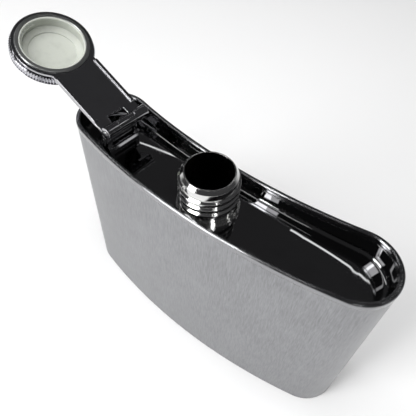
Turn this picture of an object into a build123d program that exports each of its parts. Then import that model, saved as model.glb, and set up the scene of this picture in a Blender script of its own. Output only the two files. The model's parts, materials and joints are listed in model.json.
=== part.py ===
from build123d import *
import math
import os

# Hip flask with a captive screw cap on a double-pin hinge. Millimetres, +Z up.
# The origin is the middle of the underside of the base. The curved front faces -Y and the
# hinge is at the -X end. The cap is drawn swung open, the way it hangs beside a filled neck.

# ---- body ----
BODY_WIDTH = 95.0          # over the two round ends
BODY_THICKNESS = 20.7      # front to back on the centre line
BODY_HEIGHT = 63.0         # table to the top of the rim
END_RADIUS = 10.1          # round ends, seen from above
END_SETBACK = 4.1          # how far the ends lie behind the middle
SHEET = 0.6                # stainless sheet of the body shell, the base and the pan
BASE_UPSTAND = 2.4         # height of the base flange inside the shell
BASE_EDGE = 0.5            # rounding under the base
RIM_HEIGHT = 1.7
RIM_PROUD = 0.1            # the rim band stands this far outside the shell
RIM_ROUND = 0.45

# ---- pan sunk in the top ----
PAN_DEPTH = 4.8            # below the rim, at the neck
PAN_CROWN_RADIUS = 400.0   # the floor of the pan is arched along the width
PAN_FILLET = 1.2

# ---- neck ----
NECK_X = -0.4              # the neck stands this far off the middle
NECK_Y = -0.65
NECK_BORE_RADIUS = 5.9
NECK_WALL = 1.0
NECK_RISE = 7.4            # lip above the rim
NECK_TAIL = 0.8            # length of the tube below the floor of the pan
LIP_BAND = 2.2             # lip to the middle of the first turn of thread
LIP_TAPER = 1.0            # height of the cone under the lip
LIP_EDGE = 0.3             # width of the flat lip
THREAD_PITCH = 2.1
THREAD_DEPTH = 0.6
THREAD_CREST = 0.9         # width of the flat top of the thread
THREAD_TURNS = 3.5
THREAD_END = 250.0         # degrees round from +X, where the thread runs out under the lip
FLANGE_WIDTH = 1.1
FLANGE_STEP = 0.75

# ---- cap ----
THREAD_CLEARANCE = 0.35    # radial, cap thread to neck thread
CAP_THREAD_DEPTH = 0.3
CAP_THREAD_CREST = 0.4
CAP_THREAD_TURNS = 0.35
CAP_THREAD_START = 0.9     # mouth to the middle of the thread at its first end
LINER_WALL = 0.5           # plastic outside the root of its thread
CAP_WALL = 0.5             # steel of the collar
LIP_WIDTH = 0.6            # flange of the collar beyond its wall
LIP_THICKNESS = 0.35
LINER_DEPTH = 3.9          # mouth to the sealing floor of the liner
LINER_THICKNESS = 0.8
SHOULDER_DEPTH = 2.9       # mouth to the sloping shoulder round the sealing floor
SEAL_CLEARANCE = 0.25      # radial, sealing floor beyond the neck's lip
SEAL_RECESS = 0.2
CROWN_THICKNESS = 0.9
HEAD_WALL = 2.05           # knurled wall outside the collar
KNURL_HEIGHT = 2.05
KNURL_COUNT = 90
KNURL_DEPTH = 0.3
SEAL_GAP = 0.05            # liner to neck lip when shut

# ---- arm ----
ARM_TURN = 4.8             # degrees, the arm points this far behind the -X direction
ARM_TILT = 21.0            # degrees above level, swung open
HINGE_INSET = 17.25        # upper pin in from the round end of the body
ARM_WIDTH = 13.2
ARM_SHEET = 0.9
RING_WIDTH = 1.4
RING_GAP = 0.08            # radial, collar turning in the ring
RING_PLAY = 0.05           # collar flange to the ring's face
HEAD_PLAY = 0.2            # knurled head to the ring's back
FLANGE_HEIGHT = 0.55       # turned edges of the arm
NOTCH_WIDTH = 5.5
NOTCH_LENGTH = 4.2

# ---- hinge ----
PIN_RADIUS = 0.75
PIN_GAP = 0.05             # radial, where a pin turns
BARREL_WALL = 0.75
SIDE_GAP = 0.15            # beside every turning barrel
LINK_LEAN = 3.9            # lower pin lies this much further from the neck than the upper pin
LINK_WIDTH = 7.5
LINK_WEB = 1.0
EAR_THICKNESS = 1.2
BASE_PLATE = 1.1
BARREL_LIFT = 0.25         # lower barrel above the base plate
PIN_HEAD = 0.35

# ---- derived ----
end_x = BODY_WIDTH / 2 - END_RADIUS
front_h = END_SETBACK + BODY_THICKNESS / 2
back_h = END_SETBACK - BODY_THICKNESS / 2
front_radius = (end_x**2 + front_h**2 - END_RADIUS**2) / (2 * (front_h - END_RADIUS))
back_radius = (end_x**2 + back_h**2 - END_RADIUS**2) / (2 * (back_h + END_RADIUS))
front_centre = -BODY_THICKNESS / 2 + front_radius
back_centre = BODY_THICKNESS / 2 + back_radius

rim_bottom = BODY_HEIGHT - RIM_HEIGHT
pan_floor = BODY_HEIGHT - PAN_DEPTH
lip_top = BODY_HEIGHT + NECK_RISE
root_radius = NECK_BORE_RADIUS + NECK_WALL
crest_radius = root_radius + THREAD_DEPTH

cap_crest = crest_radius + THREAD_CLEARANCE
cap_root = cap_crest + CAP_THREAD_DEPTH
liner_radius = cap_root + LINER_WALL
seal_radius = NECK_BORE_RADIUS + LIP_EDGE + SEAL_CLEARANCE
collar_radius = liner_radius + CAP_WALL
flange_radius = collar_radius + LIP_WIDTH
hole_radius = collar_radius + RING_GAP
ring_radius = hole_radius + RING_WIDTH
head_radius = collar_radius + HEAD_WALL

knuckle_inner = PIN_RADIUS
knuckle_outer = knuckle_inner + ARM_SHEET
barrel_inner = PIN_RADIUS + PIN_GAP
barrel_outer = barrel_inner + BARREL_WALL

# Heights along the cap's axis, measured from the upper pin towards the mouth.
arm_face = -knuckle_inner
arm_back = arm_face - ARM_SHEET
mouth = arm_face + RING_PLAY + LIP_THICKNESS
liner_face = mouth - LINER_DEPTH
liner_back = liner_face - LINER_THICKNESS
head_front = arm_back - HEAD_PLAY
crown_top = liner_back - CROWN_THICKNESS

arm_reach = BODY_WIDTH / 2 + NECK_X - HINGE_INSET
lower_s = arm_reach + LINK_LEAN
# Shut, the arm lies level over the neck with the mouth down, so this sets the upper pin.
upper_z = lip_top + SEAL_GAP - LINER_DEPTH + mouth


def floor_height(x):
    """Top of the arched pan floor at a distance x from the middle."""
    return pan_floor - PAN_CROWN_RADIUS + math.sqrt(PAN_CROWN_RADIUS**2 - x**2)


ear_half = barrel_outer + 0.35
plate_near = lower_s - ear_half - 0.2
plate_far = lower_s + ear_half + 0.6
plate_top = floor_height(plate_near) + BASE_PLATE
lower_z = plate_top + BARREL_LIFT + barrel_outer
link_length = math.hypot(LINK_LEAN, upper_z - lower_z)
link_angle = math.degrees(math.atan2(upper_z - lower_z, LINK_LEAN))


def kidney(inset):
    """Body outline moved inwards by inset: long front and back arcs joined by round ends."""
    points = {}
    for side in (1, -1):
        end = Vector(side * end_x, END_SETBACK)
        to_front = (end - Vector(0, front_centre)).normalized()
        to_back = (end - Vector(0, back_centre)).normalized()
        points[side] = (
            Vector(0, front_centre) + to_front * (front_radius - inset),
            end + Vector(side * (END_RADIUS - inset), 0),
            Vector(0, back_centre) + to_back * (back_radius + inset),
        )
    front_mid = Vector(0, front_centre - front_radius + inset)
    back_mid = Vector(0, back_centre - back_radius - inset)
    outline = [
        Edge.make_three_point_arc(points[-1][0], front_mid, points[1][0]),
        Edge.make_three_point_arc(*points[1]),
        Edge.make_three_point_arc(points[1][2], back_mid, points[-1][2]),
        Edge.make_three_point_arc(points[-1][2], points[-1][1], points[-1][0]),
    ]
    return Face(Wire(outline))


def slab(inset, low, high):
    """The body outline, moved inwards, between two heights."""
    return Pos(0, 0, low) * extrude(kidney(inset), high - low)


def rod(radius, low, high):
    """Upright cylinder between two heights."""
    return Pos(0, 0, (low + high) / 2) * Cylinder(radius, high - low)


def bar(radius, half):
    """Cylinder along Y, centred."""
    return Rot(90, 0, 0) * Cylinder(radius, 2 * half)


def box(x0, x1, half, z0, z1):
    """Box centred on Y."""
    return Pos((x0 + x1) / 2, 0, (z0 + z1) / 2) * Box(x1 - x0, 2 * half, z1 - z0)


def ridge(start, depth, crest, turns):
    """Helical thread ridge on a wall of radius start, climbing from 0; depth below 0 is inward."""
    path = Helix(pitch=THREAD_PITCH, height=THREAD_PITCH * turns, radius=start)
    plane = Plane(origin=(start, 0, 0), x_dir=(1, 0, 0), z_dir=(0, -1, 0))
    bite = math.copysign(0.15, depth)
    root = crest / 2 + 0.7 * abs(depth + bite)
    outline = [
        (-bite, -root),
        (depth, -crest / 2),
        (depth, crest / 2),
        (-bite, root),
    ]
    profile = plane * make_face(Polyline(*outline, close=True))
    return sweep(profile, path=path, is_frenet=True)


# ---- body shell, base, rim and pan ----
body_wrap = slab(0, SHEET, rim_bottom) - slab(SHEET, 0, BODY_HEIGHT)

bottom_plate = slab(0, 0, SHEET)
bottom_plate = fillet(bottom_plate.edges().group_by(Axis.Z)[0], BASE_EDGE)
bottom_plate += slab(SHEET, SHEET, SHEET + BASE_UPSTAND) - slab(2 * SHEET, SHEET, BODY_HEIGHT)

rim_band = slab(-RIM_PROUD, rim_bottom, BODY_HEIGHT) - slab(2 * SHEET, 0, BODY_HEIGHT + 1)
rim_band = fillet(rim_band.edges().group_by(Axis.Z)[-1], RIM_ROUND)

arch_axis = Pos(0, 0, pan_floor - PAN_CROWN_RADIUS)
arch_top = arch_axis * bar(PAN_CROWN_RADIUS, BODY_THICKNESS * 2)
arch_under = arch_axis * bar(PAN_CROWN_RADIUS - SHEET, BODY_THICKNESS * 2)
pan_low = floor_height(BODY_WIDTH / 2) - 2
pan_hollow = slab(2 * SHEET, pan_low, BODY_HEIGHT) - arch_top
pan_hollow = fillet(pan_hollow.edges().filter_by(GeomType.BSPLINE), PAN_FILLET)
neck_axis = Pos(NECK_X, NECK_Y, 0)
top_pan = slab(SHEET, pan_low, rim_bottom) - arch_under - pan_hollow
top_pan -= neck_axis * rod(root_radius, pan_low, BODY_HEIGHT)

# ---- neck ----
neck_low = pan_floor - SHEET - NECK_TAIL
lip_cone = Cone(root_radius, NECK_BORE_RADIUS + LIP_EDGE, LIP_TAPER)
neck_tube = rod(root_radius, neck_low, lip_top - LIP_TAPER)
neck_tube += Pos(0, 0, lip_top - LIP_TAPER / 2) * lip_cone
neck_tube -= rod(NECK_BORE_RADIUS, neck_low - 1, lip_top + 1)
thread_low = Pos(0, 0, lip_top - LIP_BAND - THREAD_PITCH * THREAD_TURNS)
thread_turn = Rot(0, 0, THREAD_END - 360 * THREAD_TURNS)
thread = thread_low * thread_turn * ridge(root_radius, THREAD_DEPTH, THREAD_CREST, THREAD_TURNS)
neck_tube = neck_axis * (neck_tube + thread)

neck_flange = rod(root_radius + FLANGE_WIDTH, pan_floor - SHEET / 2, pan_floor + FLANGE_STEP)
neck_flange += rod(root_radius + FLANGE_WIDTH / 2, pan_floor, pan_floor + 2 * FLANGE_STEP)
neck_flange -= rod(root_radius, neck_low, lip_top)
neck_flange = neck_axis * neck_flange - top_pan

# ---- hinge: the swing frame has X running outwards from the neck's axis to the hinge ----
turn = math.radians(ARM_TURN)
outwards = (-math.cos(turn), math.sin(turn), 0)
swing = Plane(origin=(NECK_X, NECK_Y, 0), x_dir=outwards, z_dir=(0, 0, 1)).location
upper = swing * Pos(arm_reach, 0, upper_z)
lower = swing * Pos(lower_s, 0, lower_z)

ear_inner = LINK_WIDTH / 2 + SIDE_GAP
ear_outer = ear_inner + EAR_THICKNESS
bracket = box(plate_near, plate_far, ear_outer, plate_top - 2 * BASE_PLATE - SHEET, plate_top)
for side in (1, -1):
    ear = box(lower_s - ear_half, lower_s + ear_half, EAR_THICKNESS / 2, plate_top - BASE_PLATE / 2, lower_z)
    ear += Pos(lower_s, 0, lower_z) * bar(ear_half, EAR_THICKNESS / 2)
    bracket += Pos(0, side * (ear_inner + ear_outer) / 2, 0) * ear
bracket -= Pos(lower_s, 0, lower_z) * bar(PIN_RADIUS, ear_outer + 1)
hinge_bracket = swing * bracket - arch_top

bracket_pin = bar(PIN_RADIUS, ear_outer)
for side in (1, -1):
    bracket_pin += Pos(0, side * (ear_outer + PIN_HEAD / 2), 0) * bar(PIN_RADIUS + PIN_HEAD, PIN_HEAD / 2)
bracket_pin = lower * bracket_pin

narrow = NOTCH_WIDTH / 2 - SIDE_GAP
link = box(0, link_length, narrow, -LINK_WEB / 2, LINK_WEB / 2)
link += box(knuckle_outer + 0.6, link_length, LINK_WIDTH / 2, -LINK_WEB / 2, LINK_WEB / 2)
link += bar(barrel_outer, narrow)
link += Pos(link_length, 0, 0) * bar(barrel_outer, LINK_WIDTH / 2)
link -= bar(barrel_inner, LINK_WIDTH)
link -= Pos(link_length, 0, 0) * bar(barrel_inner, LINK_WIDTH)
hinge_link = upper * Rot(0, link_angle, 0) * link

# ---- arm: drawn from the upper pin, X along the arm and Z towards the cap's mouth ----
arm_frame = upper * Rot(0, -ARM_TILT, 0)
half_width = ARM_WIDTH / 2
ring_join = arm_reach - math.sqrt(ring_radius**2 - half_width**2)
strap = Pos(arm_reach / 2, 0) * Rectangle(arm_reach, ARM_WIDTH)
strap += Pos(arm_reach, 0) * Circle(ring_radius)
corners = [v for v in strap.vertices() if abs(v.X - ring_join) < 0.1]
strap = fillet(corners, 1.5)
strap -= Pos(arm_reach, 0) * Circle(hole_radius)
arm = Pos(0, 0, arm_back) * extrude(strap, ARM_SHEET)
for side in (1, -1):
    edge = box(NOTCH_LENGTH, ring_join - 1.5, ARM_SHEET / 2, arm_face - 0.1, arm_face + FLANGE_HEIGHT)
    edge = fillet(edge.edges().filter_by(Axis.Y).group_by(Axis.Z)[-1], FLANGE_HEIGHT * 0.9)
    arm += Pos(0, side * (half_width - ARM_SHEET / 2), 0) * edge
arm -= box(-1, NOTCH_LENGTH, NOTCH_WIDTH / 2, arm_back - 1, arm_face + 1)
knuckle_half = (half_width - NOTCH_WIDTH / 2) / 2
for side in (1, -1):
    arm += Pos(0, side * (half_width - knuckle_half), 0) * bar(knuckle_outer, knuckle_half)
arm -= bar(PIN_RADIUS, ARM_WIDTH)
cap_arm = arm_frame * arm

arm_pin = arm_frame * bar(PIN_RADIUS, half_width + PIN_HEAD / 2)

# ---- cap: collar pressed into a knurled head, with the ring of the arm held between them ----
cap_axis = arm_frame * Pos(arm_reach, 0, 0)
flange_back = arm_face + RING_PLAY

collar = rod(collar_radius, liner_back, mouth) + rod(flange_radius, flange_back, mouth)
collar -= rod(liner_radius, liner_back - 1, mouth + 1)
collar = chamfer(collar.edges().group_by(Axis.Z)[-1].sort_by(SortBy.LENGTH)[0], 0.12)
collar = fillet(collar.edges().group_by(Axis.Z)[-1].sort_by(SortBy.LENGTH)[-1], 0.2)
cap_collar = cap_axis * collar

# The liner is a moulded cup with the cap's thread on its wall and the seal as its floor.
liner_section = [
    (0, liner_back),
    (liner_radius, liner_back),
    (liner_radius, mouth - 0.15),
    (cap_root + 0.2, mouth - 0.15),
    (cap_root, mouth - 0.35),
    (cap_root, mouth - SHOULDER_DEPTH),
    (seal_radius, liner_face + SEAL_RECESS),
    (seal_radius, liner_face),
    (0, liner_face),
]
liner = revolve(Plane.XZ * make_face(Polyline(*liner_section, close=True)), Axis.Z)
cap_thread_low = mouth - CAP_THREAD_START - THREAD_PITCH * CAP_THREAD_TURNS
cap_thread = ridge(cap_root, -CAP_THREAD_DEPTH, CAP_THREAD_CREST, CAP_THREAD_TURNS)
cap_liner = cap_axis * (liner + Pos(0, 0, cap_thread_low) * cap_thread)

knurl_back = head_front - KNURL_HEIGHT
section = [
    (collar_radius, head_front),
    (head_radius - 0.25, head_front),
    (head_radius, head_front - 0.25),
    (head_radius, knurl_back),
    (head_radius - 0.35, knurl_back - 0.25),
    (head_radius - 1.6, crown_top + 0.35),
    (head_radius - 2.3, crown_top),
    (0, crown_top),
    (0, liner_back),
    (collar_radius, liner_back),
]
head = revolve(Plane.XZ * make_face(Polyline(*section, close=True)), Axis.Z)
teeth = []
for i in range(2 * KNURL_COUNT):
    radius = head_radius - KNURL_DEPTH * (i % 2)
    angle = math.pi * i / KNURL_COUNT
    teeth.append((radius * math.cos(angle), radius * math.sin(angle)))
waste = Circle(head_radius + 1) - make_face(Polyline(*teeth, close=True))
head -= Pos(0, 0, knurl_back) * extrude(waste, KNURL_HEIGHT + 1)
cap_head = cap_axis * head

# ---- one file for each piece ----
PARTS = {
    "body_wrap": body_wrap,
    "bottom_plate": bottom_plate,
    "rim_band": rim_band,
    "top_pan": top_pan,
    "neck_tube": neck_tube,
    "neck_flange": neck_flange,
    "hinge_bracket": hinge_bracket,
    "bracket_pin": bracket_pin,
    "hinge_link": hinge_link,
    "arm_pin": arm_pin,
    "cap_arm": cap_arm,
    "cap_collar": cap_collar,
    "cap_head": cap_head,
    "cap_liner": cap_liner,
}
os.makedirs("parts", exist_ok=True)
for name, shape in PARTS.items():
    shape.label = name
    export_step(shape, f"parts/{name}.step")
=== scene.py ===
import json
import math
import bmesh
import bpy
from mathutils import Euler, Matrix, Vector


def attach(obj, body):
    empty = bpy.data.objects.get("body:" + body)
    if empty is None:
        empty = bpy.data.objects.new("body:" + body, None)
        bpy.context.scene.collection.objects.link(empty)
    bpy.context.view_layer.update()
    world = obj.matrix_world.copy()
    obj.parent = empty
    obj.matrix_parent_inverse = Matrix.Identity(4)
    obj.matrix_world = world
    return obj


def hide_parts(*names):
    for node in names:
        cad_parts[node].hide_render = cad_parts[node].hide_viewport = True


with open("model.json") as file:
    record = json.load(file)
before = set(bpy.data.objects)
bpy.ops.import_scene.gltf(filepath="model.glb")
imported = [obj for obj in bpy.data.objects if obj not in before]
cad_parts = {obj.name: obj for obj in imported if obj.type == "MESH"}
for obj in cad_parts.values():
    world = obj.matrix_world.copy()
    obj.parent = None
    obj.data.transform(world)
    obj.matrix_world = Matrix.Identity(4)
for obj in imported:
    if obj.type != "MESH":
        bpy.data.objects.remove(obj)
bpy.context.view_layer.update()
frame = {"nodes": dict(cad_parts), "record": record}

MM = 0.001
STEEL = (0.60, 0.60, 0.61)
# painted shade: a darkened steel colour, so the hinge standing in the recess reads dark
HINGE_STEEL_PAINTED_SHADE = (0.42, 0.42, 0.43)
LINER_CREAM = (0.52, 0.54, 0.49)
SHARP_ANGLE = math.radians(28)
CAP_LEAN = math.radians(20.9)
PRESSED_SLOTS = ("brushed", "pan_steel", "arm_steel", "hinge_steel")

scene = bpy.context.scene
cad_nodes = frame["nodes"]


# ---- node wiring ----
def new_tree_group(name, inputs, outputs):
    """An empty shader node group with named inputs, given as name: default, and outputs, name: type."""
    tree = bpy.data.node_groups.new(name, "ShaderNodeTree")
    for socket, default in inputs.items():
        item = tree.interface.new_socket(socket, in_out="INPUT", socket_type="NodeSocketFloat")
        item.default_value = default
    for socket, kind in outputs.items():
        tree.interface.new_socket(socket, in_out="OUTPUT", socket_type=kind)
    return tree, tree.nodes.new("NodeGroupInput"), tree.nodes.new("NodeGroupOutput")


def add_node(tree, kind, settings=None, **inputs):
    """A node of that kind; an input given as a socket is linked, and any other value is set."""
    node = tree.nodes.new(kind)
    for key, value in (settings or {}).items():
        setattr(node, key, value)
    for key, value in inputs.items():
        socket = node.inputs[int(key[1:])] if key[0] == "_" else node.inputs[key.replace("_", " ")]
        if isinstance(value, bpy.types.NodeSocket):
            tree.links.new(value, socket)
        else:
            socket.default_value = value
    return node


def math_node(tree, operation, first, second=0.0):
    return add_node(tree, "ShaderNodeMath", {"operation": operation}, _0=first, _1=second).outputs[0]


def fade(tree, value, low, high, to_low=0.0, to_high=1.0):
    """The value moved from low..high to to_low..to_high, and held at those ends."""
    node = add_node(tree, "ShaderNodeMapRange", None, Value=value)
    for socket, number in zip(("From Min", "From Max", "To Min", "To Max"), (low, high, to_low, to_high)):
        node.inputs[socket].default_value = number
    return node.outputs[0]


def noise(tree, vector, scale, detail=3.0, roughness=0.55):
    return add_node(
        tree, "ShaderNodeTexNoise", None, Vector=vector, Scale=scale, Detail=detail, Roughness=roughness
    ).outputs["Fac"]


def place(tree):
    return add_node(tree, "ShaderNodeTexCoord").outputs["Object"]


# ---- effects shared by several finishes ----
def make_brush_marks():
    """Short upright lines left by the belt, as lines per metre and how many times longer than wide."""
    tree, given, result = new_tree_group(
        "belt_brush_marks",
        {"Lines per metre": 3500.0, "Line length": 14.0},
        {"Mark": "NodeSocketFloat", "Cloud": "NodeSocketFloat"},
    )
    where = add_node(tree, "ShaderNodeSeparateXYZ", None, Vector=place(tree))
    squeezed = math_node(tree, "DIVIDE", where.outputs["Z"], given.outputs["Line length"])
    stretched = add_node(
        tree, "ShaderNodeCombineXYZ", None, X=where.outputs["X"], Y=where.outputs["Y"], Z=squeezed
    ).outputs[0]
    lines = noise(tree, stretched, given.outputs["Lines per metre"], 4.0, 0.65)
    cloud = noise(tree, place(tree), 90.0, 4.0, 0.6)
    tree.links.new(lines, result.inputs["Mark"])
    tree.links.new(cloud, result.inputs["Cloud"])
    return tree


def make_handling():
    """Finger smears, and hairline scratches that run every way."""
    tree, given, result = new_tree_group(
        "handling_marks",
        {"Smear size": 120.0, "Scratch density": 900.0, "Scratch width": 0.03},
        {"Smear": "NodeSocketFloat", "Scratch": "NodeSocketFloat"},
    )
    smear = fade(tree, noise(tree, place(tree), given.outputs["Smear size"], 5.0, 0.6), 0.48, 0.72)
    strokes = []
    for turn in (0.4, 1.5, 2.7):
        mapping = add_node(tree, "ShaderNodeMapping", None, Vector=place(tree))
        mapping.inputs["Rotation"].default_value = (turn * 0.7, turn * 0.5, turn)
        mapping.inputs["Scale"].default_value = (1.0, 0.06, 1.0)
        line = noise(tree, mapping.outputs[0], given.outputs["Scratch density"], 1.0)
        off = math_node(tree, "ABSOLUTE", math_node(tree, "SUBTRACT", line, 0.5))
        share = math_node(tree, "DIVIDE", off, given.outputs["Scratch width"])
        thin = math_node(tree, "SUBTRACT", 1.0, share)
        patch = fade(tree, noise(tree, mapping.outputs[0], 260.0, 1.0), 0.55, 0.68)
        strokes.append(math_node(tree, "MULTIPLY", math_node(tree, "MAXIMUM", thin, 0.0), patch))
    scratch = math_node(tree, "MAXIMUM", math_node(tree, "MAXIMUM", strokes[0], strokes[1]), strokes[2])
    tree.links.new(smear, result.inputs["Smear"])
    tree.links.new(scratch, result.inputs["Scratch"])
    return tree


def make_turning_rings():
    """Fine rings left by a lathe, about an axis that leans from upright towards +X."""
    tree, given, result = new_tree_group(
        "lathe_rings", {"Rings per metre": 4500.0, "Axis lean": 0.0}, {"Ring": "NodeSocketFloat"}
    )
    where = add_node(tree, "ShaderNodeSeparateXYZ", None, Vector=place(tree))
    lean = given.outputs["Axis lean"]
    upward = math_node(tree, "MULTIPLY", where.outputs["Z"], math_node(tree, "COSINE", lean))
    sideways = math_node(tree, "MULTIPLY", where.outputs["X"], math_node(tree, "SINE", lean))
    height = math_node(tree, "ADD", upward, sideways)
    level = add_node(tree, "ShaderNodeCombineXYZ", None, Z=height).outputs[0]
    tree.links.new(noise(tree, level, given.outputs["Rings per metre"], 2.0), result.inputs["Ring"])
    return tree


brush_marks = make_brush_marks()
handling_marks = make_handling()
lathe_rings = make_turning_rings()


# ---- finishes ----
def start_finish(name, colour, roughness, metallic=1.0):
    """A new material, its node tree and its shader, with the plain values set."""
    material = bpy.data.materials.new(name)
    material.use_nodes = True
    tree = material.node_tree
    shader = tree.nodes["Principled BSDF"]
    shader.inputs["Base Color"].default_value = (*colour, 1)
    shader.inputs["Metallic"].default_value = metallic
    shader.inputs["Roughness"].default_value = roughness
    return material, tree, shader


def use_group(tree, group, **settings):
    node = tree.nodes.new("ShaderNodeGroup")
    node.node_tree = group
    for key, value in settings.items():
        node.inputs[key.replace("_", " ")].default_value = value
    return node.outputs


def rounded(tree, radius):
    """The surface direction with its edges softened by that radius."""
    return add_node(tree, "ShaderNodeBevel", {"samples": 6}, Radius=radius).outputs[0]


def colour_between(tree, factor, dark, light):
    mix = add_node(tree, "ShaderNodeMix", {"data_type": "RGBA"}, Factor=factor)
    mix.inputs["A"].default_value = (*dark, 1)
    mix.inputs["B"].default_value = (*light, 1)
    return mix.outputs["Result"]


def bump(tree, height, distance, strength, normal=None):
    node = add_node(tree, "ShaderNodeBump", None, Height=height, Distance=distance, Strength=strength)
    if normal is not None:
        tree.links.new(normal, node.inputs["Normal"])
    return node.outputs[0]


def brushed_steel(name, low=0.30, high=0.44, dark=(0.22, 0.222, 0.23), light=(0.34, 0.343, 0.355)):
    material, tree, shader = start_finish(name, light, low)
    marks = use_group(tree, brush_marks, Lines_per_metre=3200.0, Line_length=10.0)
    wear = use_group(tree, handling_marks, Smear_size=70.0, Scratch_density=500.0, Scratch_width=0.012)
    lines = math_node(tree, "MULTIPLY", marks["Mark"], 0.75)
    tone = math_node(tree, "ADD", lines, math_node(tree, "MULTIPLY", marks["Cloud"], 0.25))
    tone = fade(tree, tone, 0.35, 0.65)
    tree.links.new(colour_between(tree, tone, dark, light), shader.inputs["Base Color"])
    worn = math_node(tree, "ADD", tone, math_node(tree, "MULTIPLY", wear["Smear"], 0.35))
    tree.links.new(fade(tree, worn, 0.0, 1.3, low, high), shader.inputs["Roughness"])
    shader.inputs["Anisotropic"].default_value = 0.35
    height = math_node(tree, "SUBTRACT", marks["Mark"], math_node(tree, "MULTIPLY", wear["Scratch"], 0.5))
    tree.links.new(bump(tree, height, 0.00003, 0.5, rounded(tree, 0.0002)), shader.inputs["Normal"])
    return material


def polished_steel(name, colour=STEEL, low=0.02, high=0.09, ripple=0.00001, edge=0.0002, scratch=0.4):
    material, tree, shader = start_finish(name, colour, low)
    wear = use_group(tree, handling_marks, Smear_size=130.0, Scratch_density=800.0, Scratch_width=0.015)
    smears = math_node(tree, "MULTIPLY", wear["Smear"], 0.5)
    haze = math_node(tree, "ADD", smears, math_node(tree, "MULTIPLY", wear["Scratch"], scratch))
    tree.links.new(fade(tree, haze, 0.0, 1.0, low, high), shader.inputs["Roughness"])
    dimmer = tuple(channel * 0.9 for channel in colour)
    tree.links.new(colour_between(tree, wear["Smear"], colour, dimmer), shader.inputs["Base Color"])
    wave = noise(tree, place(tree), 160.0, 1.0)
    height = math_node(tree, "SUBTRACT", wave, math_node(tree, "MULTIPLY", wear["Scratch"], 0.02))
    tree.links.new(bump(tree, height, ripple, 1.0, rounded(tree, edge)), shader.inputs["Normal"])
    return material


def turned_steel(name, colour, low=0.12, high=0.26, edge=0.00012, lean=0.0):
    material, tree, shader = start_finish(name, colour, low)
    rings = use_group(tree, lathe_rings, Rings_per_metre=5200.0, Axis_lean=lean)
    wear = use_group(tree, handling_marks, Smear_size=200.0, Scratch_density=1200.0, Scratch_width=0.02)
    rough = math_node(tree, "ADD", rings["Ring"], math_node(tree, "MULTIPLY", wear["Smear"], 0.4))
    tree.links.new(fade(tree, rough, 0.3, 1.1, low, high), shader.inputs["Roughness"])
    dimmer = tuple(channel * 0.86 for channel in colour)
    tree.links.new(colour_between(tree, rings["Ring"], dimmer, colour), shader.inputs["Base Color"])
    height = math_node(tree, "SUBTRACT", rings["Ring"], math_node(tree, "MULTIPLY", wear["Scratch"], 0.4))
    tree.links.new(bump(tree, height, 0.000012, 0.6, rounded(tree, edge)), shader.inputs["Normal"])
    return material


def moulded_liner(name):
    material, tree, shader = start_finish(name, LINER_CREAM, 0.32, 0.0)
    shader.inputs["Subsurface Weight"].default_value = 0.25
    shader.inputs["Subsurface Radius"].default_value = (0.0012, 0.0012, 0.0009)
    shader.inputs["Subsurface Scale"].default_value = 1.0
    wear = use_group(tree, handling_marks, Smear_size=260.0, Scratch_density=1500.0, Scratch_width=0.02)
    grain = noise(tree, place(tree), 5200.0, 2.0)
    stain = tuple(channel * 0.88 for channel in LINER_CREAM)
    tree.links.new(colour_between(tree, wear["Smear"], LINER_CREAM, stain), shader.inputs["Base Color"])
    tree.links.new(fade(tree, grain, 0.3, 0.7, 0.26, 0.42), shader.inputs["Roughness"])
    tree.links.new(bump(tree, grain, 0.00002, 0.5, rounded(tree, 0.0002)), shader.inputs["Normal"])
    return material


finishes = {
    "brushed": brushed_steel("brushed_body_steel"),
    # painted shade: the rim steel is darkened well below the other polished steel, so its reflection of the
    # bright floor reads dim grey
    "polished": polished_steel("polished_rim_steel_painted_shade", (0.30, 0.302, 0.31), 0.10, 0.20, 0.00002, 0.0008),
    # painted shade: the pan steel is far darker than the other steel, so the recess reads as dark as the
    # dim room it mirrors
    "pan_steel": polished_steel("mirror_pan_steel_painted_shade", (0.22, 0.22, 0.224), 0.01, 0.05, 0.000004, 0.0003, 0.2),
    "neck_steel": turned_steel("turned_neck_steel", (0.74, 0.74, 0.73), 0.06, 0.16),
    # painted shade: the hinge steel uses the darkened colour above
    "hinge_steel": polished_steel("pressed_hinge_steel_painted_shade", HINGE_STEEL_PAINTED_SHADE, 0.05, 0.14, 0.00002, 0.0001),
    "pin_steel": turned_steel("turned_pin_steel", (0.62, 0.62, 0.63), 0.08, 0.2, 0.0001),
    # painted shade: the arm steel is darkened so its face and flanges read dark instead of mirroring the
    # bright floor
    "arm_steel": polished_steel("pressed_arm_steel_painted_shade", (0.42, 0.42, 0.435), 0.05, 0.13, 0.00001, 0.0002),
    "collar_steel": turned_steel("satin_collar_steel", (0.55, 0.56, 0.55), 0.28, 0.42, lean=CAP_LEAN),
    "head_steel": polished_steel("knurled_head_steel", (0.50, 0.50, 0.53), 0.06, 0.16, 0.00001, 0.00006),
    "liner_white": moulded_liner("moulded_liner_plastic"),
}


# ---- pieces ----
def smooth_copy(node_name, body, slot):
    """A welded copy of a piece, shaded smooth except along its real edges."""
    piece = bpy.data.objects.new(node_name + "_skin", cad_nodes[node_name].data.copy())
    scene.collection.objects.link(piece)
    shape = bmesh.new()
    shape.from_mesh(piece.data)
    bmesh.ops.remove_doubles(shape, verts=shape.verts, dist=0.000002)
    for face in shape.faces:
        face.smooth = True
    for edge in shape.edges:
        edge.smooth = edge.is_manifold and edge.calc_face_angle(math.pi) < SHARP_ANGLE
    shape.to_mesh(piece.data)
    shape.free()
    piece.data.materials.clear()
    piece.data.materials.append(finishes[slot])
    if slot in PRESSED_SLOTS:
        flatten = piece.modifiers.new("large_faces_stay_flat", "WEIGHTED_NORMAL")
        flatten.weight = 100
        flatten.keep_sharp = True
        graph = bpy.context.evaluated_depsgraph_get()
        piece.data = bpy.data.meshes.new_from_object(piece.evaluated_get(graph))
        piece.modifiers.clear()
    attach(piece, body)
    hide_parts(node_name)
    return piece


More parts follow.
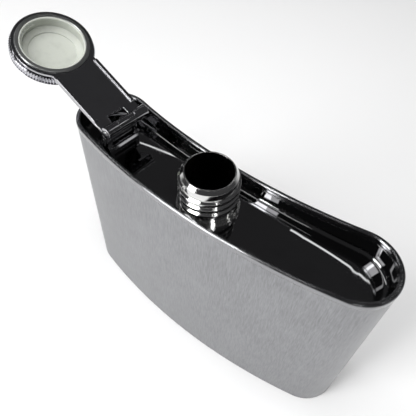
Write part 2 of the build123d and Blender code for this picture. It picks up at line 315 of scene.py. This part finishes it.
body_of_node = {}
for body, members in frame["record"]["behaviour"]["bodies"].items():
    for member in members:
        body_of_node[member] = body
for part in frame["record"]["subparts"]:
    smooth_copy(part["node"], body_of_node[part["node"]], part["material_slot"])


# ---- studio ----
def softbox(name, place_mm, length, width, power, run=(1, 0, 0), seen=True):
    """A lamp panel that faces the flask, with its length along run."""
    light = bpy.data.lights.new(name, "AREA")
    light.shape = "RECTANGLE"
    light.size, light.size_y = length, width
    light.energy = power
    holder = bpy.data.objects.new(name, light)
    where = Vector(place_mm) * MM
    back = (where - Vector((0, 0, 0.05))).normalized()
    side = back.cross(Vector(run)).normalized()
    turn = Matrix((side.cross(back), side, back)).transposed().to_4x4()
    holder.matrix_world = Matrix.Translation(where) @ turn
    holder.visible_glossy = seen
    scene.collection.objects.link(holder)


softbox("overhead_fill", (0, -55, 600), 0.7, 0.7, 3.4, seen=False)
softbox("left_window", (-255, -540, 400), 0.30, 0.7, 4.0, run=(0.9, -0.425, 0))
softbox("overhead_strip", (-216, 0, 608), 0.55, 0.06, 0.35)
softbox("far_edge_left", (-310, 415, 600), 0.51, 0.003, 0.014, run=(1, -0.086, 0))
softbox("far_edge_right", (65, 396, 600), 0.25, 0.003, 0.007, run=(1, 0.06, 0))
softbox("front_box", (-98, -356, 524), 0.05, 0.12, 0.25)
softbox("right_box", (318, -186, 524), 0.06, 0.08, 0.15)
softbox("right_back_box", (270, 228, 525), 0.03, 0.03, 0.01)

world = bpy.data.worlds.new("studio_room")
scene.world = world
world.use_nodes = True
world.node_tree.nodes["Background"].inputs["Color"].default_value = (0.055, 0.055, 0.057, 1)

floor_mesh = bpy.data.meshes.new("floor")
floor_mesh.from_pydata([(-1.5, -1.5, 0), (1.5, -1.5, 0), (1.5, 1.5, 0), (-1.5, 1.5, 0)], [], [(0, 1, 2, 3)])
floor = bpy.data.objects.new("floor", floor_mesh)
scene.collection.objects.link(floor)
floor_mesh.materials.append(start_finish("floor_paper", (0.92, 0.92, 0.92), 0.9, 0.0)[0])

camera = bpy.data.cameras.new("camera")
camera.lens = 40.70
camera.sensor_width = 36.0
camera.clip_start = 0.01
viewer = bpy.data.objects.new("camera", camera)
viewer.location = Vector((42.157, -60.278, 149.768)) * MM
viewer.rotation_euler = Euler([math.radians(a) for a in (38.101361, -2.217524, 38.269276)])
scene.collection.objects.link(viewer)
scene.camera = viewer

scene.view_settings.view_transform = "Standard"
